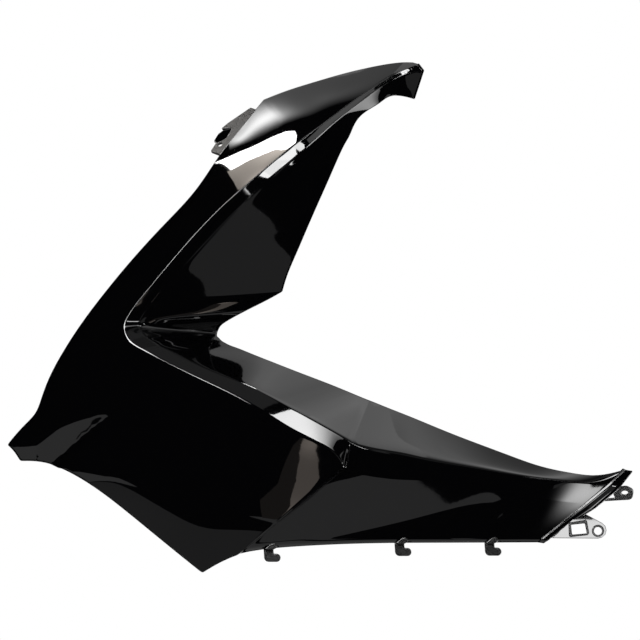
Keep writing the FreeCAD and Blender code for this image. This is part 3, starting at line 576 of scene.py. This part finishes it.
# Hooks under the lower edge: a lobed root, a neck and a round bead at the toe.
HOOK_SHAPE = rounded([(-5.4, -0.9, 1), (-4.6, -13.2, 4.5), (11.5, -13.2, 3.9),
                      (11.5, -5.2, 3.9), (4.6, -5.3, 1.2), (4.3, 0.4, 1), (4.3, 4, 0), (-4, 4, 0)])
HOOK_ROOT = rounded([(-5.4, -0.9, 1), (1.5, 5, 2), (6, 6.4, 2.4), (8.6, 2.6, 2), (6.5, 0.3, 1), (3.5, -1, 1)])
HOOK_PLACES = [("front", -329), ("middle", -198), ("back", -108)]
HOOK_WALL = 12
HOOK_ROOT_WALL = 7
HOOK_EDGE = 0.8
HOOK_INWARD = (0, 6, 0)
HOOK_ROOT_OUTWARD = (0, -2.2, 0)
for place_name, hook_x in HOOK_PLACES:
    edge = lower_edge_at(SKIN, hook_x)
    plate(place_name + "_hook", [HOOK_SHAPE], HOOK_WALL, HOOK_EDGE, edge + HOOK_INWARD, SIDE_X, SIDE_Z)
    plate(place_name + "_hook_root", [HOOK_ROOT], HOOK_ROOT_WALL, HOOK_EDGE, edge + HOOK_ROOT_OUTWARD,
          SIDE_X, SIDE_Z)


def wing_edge(station, share=0):
    """A point near the wing's front edge, share of the way from it to the crest."""
    outer, crest = (guide_points(runs, np.array([float(station)]))[0] for runs in (OUTER_EDGE, CREST))
    x, z = outer + (crest - outer) * share
    return np.array([x, shield_depth(np.array([x]), np.array([z]))[0] - TAB_ROOT_DEPTH, z])


def unit(vector):
    """The vector at length one."""
    return vector / np.linalg.norm(vector)


# Front tab: a lug plate that carries on from under the wing's front edge, with a locating hole and a stop.
FRONT_TAB_STATION = 6
FRONT_TAB_LEAD = 22
FRONT_TAB_SINK = 0.6 * SKIN_WALL
FRONT_TAB_TURN = math.radians(25)
STOP_LEAN = math.radians(14)
STOP_UP = (0, math.sin(STOP_LEAN), math.cos(STOP_LEAN))
along_edge = unit(wing_edge(5.0) - wing_edge(6.9))
outward = wing_edge(FRONT_TAB_STATION) - wing_edge(FRONT_TAB_STATION, 0.05)
outward = unit(outward - along_edge * (outward @ along_edge))
inward = np.cross(outward, along_edge)
tab_out = outward * math.cos(FRONT_TAB_TURN) - inward * math.sin(FRONT_TAB_TURN)
front_corner = wing_edge(FRONT_TAB_STATION) - along_edge * FRONT_TAB_LEAD + inward * FRONT_TAB_SINK
front_tab = rounded([(-14.5, -5, 1), (50, -5, 1), (50, 7.4, 2), (23, 17.7, 2), (13.5, 20.2, 1), (20, 9.5, 2),
                     (6.5, 7.2, 2), (-4.5, 13.6, 2), (-14.8, 12.7, 2)])
locating_hole = circle(-3.5, 8.6, 2.25)
plate("front_tab", [front_tab, locating_hole], TAB_WALL, TAB_EDGE, front_corner, along_edge, tab_out)
stop_block = rounded([(-1, 7, 1.5), (10.5, 9.5, 1), (3.5, -3, 1), (-6, -8.5, 1), (-10, -4, 1),
                      (-5.5, 3.5, 1)])
STOP_WALL = 5
STOP_EDGE = 0.6
STOP_MIDDLE = (-375, 53, 395)
plate("front_tab_stop", [stop_block], STOP_WALL, STOP_EDGE, STOP_MIDDLE, SIDE_X, STOP_UP, PAINT)


CARD_STEPS = 24
SPAN_STEPS = 6


def card(name, near, far, glow, tint="#ffffff", hot=(), fade=False):
    """A studio card seen only in the gloss, ruled between two edges: a black flag at glow 0, a reflector or a
    softbox above it. Hot spots (along, across, length, width, extra glow) die away over the card."""
    near, far = np.array(near, float), np.array(far, float)
    spans = len(near) - 1
    shaded = fade or len(hot) > 0
    span_steps = SPAN_STEPS if spans > 1 else CARD_STEPS
    share = np.linspace(0, 1, spans * (span_steps if shaded else 1) + 1)
    depth = np.linspace(0, 1, (CARD_STEPS if shaded else 1) + 1)
    stops = np.linspace(0, 1, len(near))
    low = np.stack([np.interp(share, stops, near[:, k]) for k in range(3)], axis=-1)
    high = np.stack([np.interp(share, stops, far[:, k]) for k in range(3)], axis=-1)
    points = low[:, None] + (high - low)[:, None] * depth[None, :, None]
    along, across = np.meshgrid(share, depth, indexing="ij")
    light = np.full(along.shape, float(glow))
    for middle_along, middle_across, length, width, extra in hot:
        reach = ((along - middle_along) / length) ** 2 + ((across - middle_across) / width) ** 2
        light += extra * np.exp(-reach)
    if fade:
        light *= 1 - across ** 3
    number = np.arange(light.size).reshape(light.shape)
    corners = [number[:-1, :-1], number[1:, :-1], number[1:, 1:], number[:-1, 1:]]
    quads = np.stack(corners, axis=-1).reshape(-1, 4)
    mesh = bpy.data.meshes.new(name)
    mesh.from_pydata(points.reshape(-1, 3), [], quads.tolist())
    mesh.attributes.new("glow", "FLOAT", "POINT").data.foreach_set("value", light.ravel())
    material, tree = new_material(name + "_cloth")
    strength = add(tree, "ShaderNodeAttribute", {"attribute_name": "glow"}).outputs["Fac"]
    lit = add(tree, "ShaderNodeEmission", {"Color": linear(tint)}, Strength=strength)
    add(tree, "ShaderNodeOutputMaterial", Surface=lit.outputs["Emission"])
    mesh.materials.append(material)
    piece = bpy.data.objects.new(name, mesh)
    bpy.context.scene.collection.objects.link(piece)
    for ray in ("camera", "diffuse", "transmission", "volume_scatter", "shadow"):
        setattr(piece, "visible_" + ray, False)
    return piece


FLOOR = -0.45


def upright_card(name, y, low, high, glow, **look):
    """A card square to the view at this y, between its low and its high edge (x, z)."""
    return card(name, [(x, y, z) for x, z in low], [(x, y, z) for x, z in high], glow, **look)


def level_card(name, z, front, back, glow, **look):
    """A card lying level at this z, between its front and its back edge (x, y)."""
    return card(name, [(x, y, z) for x, y in front], [(x, y, z) for x, y in back], glow, **look)


# Dark flags in front, to the left, below and above keep the flank black.
upright_card("front_flag", -2.6, [(-4, FLOOR), (3.5, FLOOR)], [(-4, 3.6), (3.5, 3.6)], 0)
card("left_flag", [(-2.3, -2.6, FLOOR), (-1.9, 1.0, FLOOR), (-1.6, 1.9, FLOOR)],
     [(-2.3, -2.6, 5), (-1.9, 1.0, 5), (-1.6, 1.9, 5)], 0)
level_card("floor_flag", FLOOR + 0.01, [(-2.4, -2.6), (3.5, -2.6)], [(-2.4, 1.4), (3.5, 1.4)], 0)
card("top_flag", [(-0.6, -2.6, 3.6), (3.5, -2.6, 3.6)], [(-0.6, -0.4, 2.6), (3.5, -0.4, 2.6)], 0.2)

# Grey reflectors on the floor for the underside, the nose, the lower edge and the arm.
level_card("floor_reflector_left", FLOOR + 0.02,
           [(-1.12, -0.42), (-0.33, -0.42)], [(-1.12, 0.1), (-0.33, 0.1)], 0.24)
level_card("floor_reflector_nose", FLOOR + 0.025,
           [(-1.32, -0.26), (-1.32, -0.73)], [(-1.12, -0.26), (-1.2, -0.73)], 0.5)
level_card("floor_reflector_tip", FLOOR + 0.025,
           [(-2.05, -0.6), (-1.32, -0.6)], [(-2.05, -0.1), (-1.32, -0.1)], 0.5)
level_card("floor_reflector_edge", FLOOR + 0.02,
           [(-0.27, -0.3), (0.05, -0.3)], [(-0.27, 0.3), (0.05, 0.3)], 0.5)
level_card("floor_reflector_arm", FLOOR + 0.02,
           [(-0.19, -0.36), (-0.31, -1.25)], [(-0.09, -0.36), (-0.19, -1.25)], 0.42)

# A strip light in front, above the panel's middle, draws the crest as a thin bright line.
upright_card("crest_strip_light", -0.75, [(-1.0, 0.26), (-0.27, 0.26)], [(-1.0, 0.62), (-0.27, 0.62)], 28)

# Wing: a spot over the top, a softbox across the front and the pale wall under it.
card("wing_spot_light",
     [(-0.93, 0.99, 1.16), (-0.95, 0.93, 1.20), (-0.879, 0.91, 1.278), (-0.799, 0.876, 1.345),
      (-0.744, 0.836, 1.396), (-0.688, 0.770, 1.457), (-0.652, 0.706, 1.50), (-0.52, 0.62, 1.56)],
     [(-1.04, 0.76, 1.21), (-1.027, 0.715, 1.26), (-1.017, 0.643, 1.312), (-1.004, 0.577, 1.357),
      (-0.972, 0.513, 1.41), (-0.908, 0.501, 1.452), (-0.781, 0.470, 1.516), (-0.65, 0.40, 1.56)],
     0.5, hot=[(0.34, 0.6, 0.28, 0.27, 11), (0.1, 0.5, 0.15, 0.3, 2)], fade=True)
card("wing_softbox", [(-0.945, 0.599, 0.995), (-0.780, 0.198, 1.265)],
     [(-0.965, 0.393, 1.078), (-0.802, 0.011, 1.266)], 30)
card("wing_wall",
     [(-1.115, 0.52, 1.222), (-1.090, 0.43, 1.29), (-1.047, 0.31, 1.36), (-0.980, 0.20, 1.43),
      (-0.90, 0.09, 1.49)],
     [(-1.15, 0.05, 1.32), (-1.12, -0.15, 1.37), (-1.07, -0.25, 1.40), (-1.0, -0.2, 1.44),
      (-0.90, -0.05, 1.50)],
     3, tint="#fff4e8", hot=[(1, 0.3, 0.55, 2, 9)])

# Arm: a soft light over its top with a flag that cuts it at the front, and a small light for the fold.
level_card("arm_top_light", 0.75, [(-0.2, -0.3), (0.6, -0.3)], [(-0.2, 0.8), (0.6, 0.8)], 0.05,
           hot=[(0.31, 0.436, 0.25, 0.182, 1.3), (0.19, 0.62, 0.09, 0.07, 0.8),
                (0.352, 0.48, 0.06, 0.06, 0.6), (0.6, 0.47, 0.2, 0.1, 1.2)])
level_card("arm_flag", 0.74, [(-0.15, 0.40), (-0.066, 0.15)], [(-0.21, 0.40), (-0.21, 0.15)], 0)
card("fold_light", [(-0.06, 0.0, 0.70), (-0.07, 0.13, 0.66)], [(-0.16, 0.02, 0.75), (-0.15, 0.145, 0.70)], 25)
level_card("fold_light_flag", 0.5, [(-0.17, -0.05), (-0.06, -0.05)], [(-0.17, 0.16), (-0.06, 0.16)], 1.5)

# Recess and the band beside the crest: a grey reflector low on the right, and softboxes.
card("recess_reflector", [(0.16, -0.67, -0.2), (0.153, -0.74, 0.06), (0.12, -0.785, 0.13)],
     [(-0.03, -0.72, -0.19), (-0.10, -0.80, -0.05), (-0.10, -0.85, 0.13)], 0.3)
card("band_softbox", [(0.247, -0.126, -0.227), (0.367, -0.089, -0.107)],
     [(0.225, -0.165, -0.190), (0.335, -0.149, -0.056)], 17)
card("band_tip_softbox", [(0.36, -0.02, -0.12), (0.31, 0.26, -0.10)],
     [(0.42, -0.02, -0.05), (0.36, 0.26, -0.05)], 1)
upright_card("low_band_softbox", -0.6, [(-0.05, 0.525), (0.02, 0.565), (0.15, 0.60), (0.25, 0.60)],
             [(-0.05, 0.45), (0.02, 0.45), (0.15, 0.45), (0.25, 0.45)], 1, hot=[(0, 0.5, 0.55, 2, 20)])
card("low_band_reflector", [(-0.02, -0.40, 0.80), (-0.02, -0.67, 0.60)],
     [(-0.35, -0.22, 0.98), (-0.35, -0.60, 0.75)], 0.3)

# Shield's rear end: a strip of pale wall with a dim strip beside it.
WALL_EDGE = [(-0.297, 0.066), (-0.290, 0.053), (-0.287, 0.034), (-0.291, 0.009), (-0.292, -0.04)]
upright_card("shield_end_wall", -0.15,
             [(-0.2865, 0.060), (-0.2735, 0.0445), (-0.267, 0.031), (-0.272, 0.0), (-0.283, -0.035)],
             WALL_EDGE, 1.2, tint="#fff0e4", hot=[(0, 0.2, 0.15, 1, 1.5), (1, 0.7, 0.2, 0.5, 1.5)])
upright_card("shield_end_dim", -0.152, WALL_EDGE,
             [(-0.302, 0.066), (-0.303, 0.055), (-0.306, 0.034), (-0.328, 0.009), (-0.327, -0.035)],
             0.15, tint="#fff0e4")

# Arm's rear end: softboxes for the end of the flank, the screw tab and the edge, and flags for the rest.
upright_card("rear_softbox", -0.2, [(-0.015, 0.012), (-0.015, -0.09)], [(0.0425, 0.012), (0.0425, -0.09)], 0,
             hot=[(0.265, 0.99, 0.39, 0.33, 12)])
upright_card("tab_softbox", -0.4, [(-0.035, 0.043), (0.05, 0.043)], [(-0.035, 0.0685), (0.05, 0.0685)], 17)
upright_card("arm_rear_flag", -0.3, [(-0.12, -0.12), (0.02, -0.12)], [(-0.12, 0.012), (0.02, 0.012)], 0)
upright_card("arm_crest_flag", -0.06, [(-0.195, 0.035), (-0.1, 0.034), (-0.05, 0.034), (0.03, 0.05)],
             [(-0.195, 0.145), (-0.1, 0.13), (-0.05, 0.095), (0.03, 0.095)], 0)
level_card("rear_low_softbox", -0.38, [(0.2, -0.25), (0.55, -0.25)], [(0.2, 0.1), (0.55, 0.1)], 20)

# Camera square to the side view, one millimetre to a pixel of the 640 pixel frame.
CAMERA_AWAY = 6.0
VIEW_WIDTH = 0.640
VIEW_MIDDLE = (-0.278, 0.211)
camera_data = bpy.data.cameras.new("camera")
camera_data.sensor_width = 36
camera_data.lens = camera_data.sensor_width * CAMERA_AWAY / VIEW_WIDTH
camera = bpy.data.objects.new("camera", camera_data)
camera.location = (VIEW_MIDDLE[0], -CAMERA_AWAY, VIEW_MIDDLE[1])
camera.rotation_euler = (math.pi / 2, 0, 0)
bpy.context.scene.collection.objects.link(camera)
bpy.context.scene.camera = camera

# Studio world: white to the eye and in reflections, soft grey as light.
SOFT_LIGHT = 0.9
WHITE = 1.0
world = bpy.data.worlds.new("studio")
bpy.context.scene.world = world
world.use_nodes = True
sky = world.node_tree
sky.nodes.clear()
rays = add(sky, "ShaderNodeLightPath")
shown = add(sky, "ShaderNodeMath", {"operation": "MAXIMUM"})
sky.links.new(rays.outputs["Is Camera Ray"], shown.inputs[0])
sky.links.new(rays.outputs["Is Glossy Ray"], shown.inputs[1])
clear = add(sky, "ShaderNodeMath", {"operation": "MAXIMUM"})
sky.links.new(shown.outputs[0], clear.inputs[0])
sky.links.new(rays.outputs["Is Transmission Ray"], clear.inputs[1])
soft = add(sky, "ShaderNodeBackground", {"Color": (1, 1, 1, 1), "Strength": SOFT_LIGHT})
white = add(sky, "ShaderNodeBackground", {"Color": (1, 1, 1, 1), "Strength": WHITE})
mixed = add(sky, "ShaderNodeMixShader", (), Fac=clear.outputs[0])
sky.links.new(soft.outputs[0], mixed.inputs[1])
sky.links.new(white.outputs[0], mixed.inputs[2])
add(sky, "ShaderNodeOutputWorld", Surface=mixed.outputs[0])

# Pale floor well under the panel.
FLOOR_SIDE = 4
FLOOR_BACK = 3
floor_paper, floor_tree = new_material("pale_paper_floor")
floor_coat = add(floor_tree, "ShaderNodeBsdfDiffuse", {"Color": linear("#f2f2f0")})
add(floor_tree, "ShaderNodeOutputMaterial", Surface=floor_coat.outputs["BSDF"])
floor_mesh = bpy.data.meshes.new("floor")
floor_corners = [(-FLOOR_SIDE, -FLOOR_SIDE, FLOOR), (FLOOR_SIDE, -FLOOR_SIDE, FLOOR),
                 (FLOOR_SIDE, FLOOR_BACK, FLOOR), (-FLOOR_SIDE, FLOOR_BACK, FLOOR)]
floor_mesh.from_pydata(floor_corners, [], [(0, 1, 2, 3)])
floor_mesh.materials.append(floor_paper)
floor = bpy.data.objects.new("floor", floor_mesh)
bpy.context.scene.collection.objects.link(floor)

bpy.context.scene.view_settings.view_transform = "Standard"
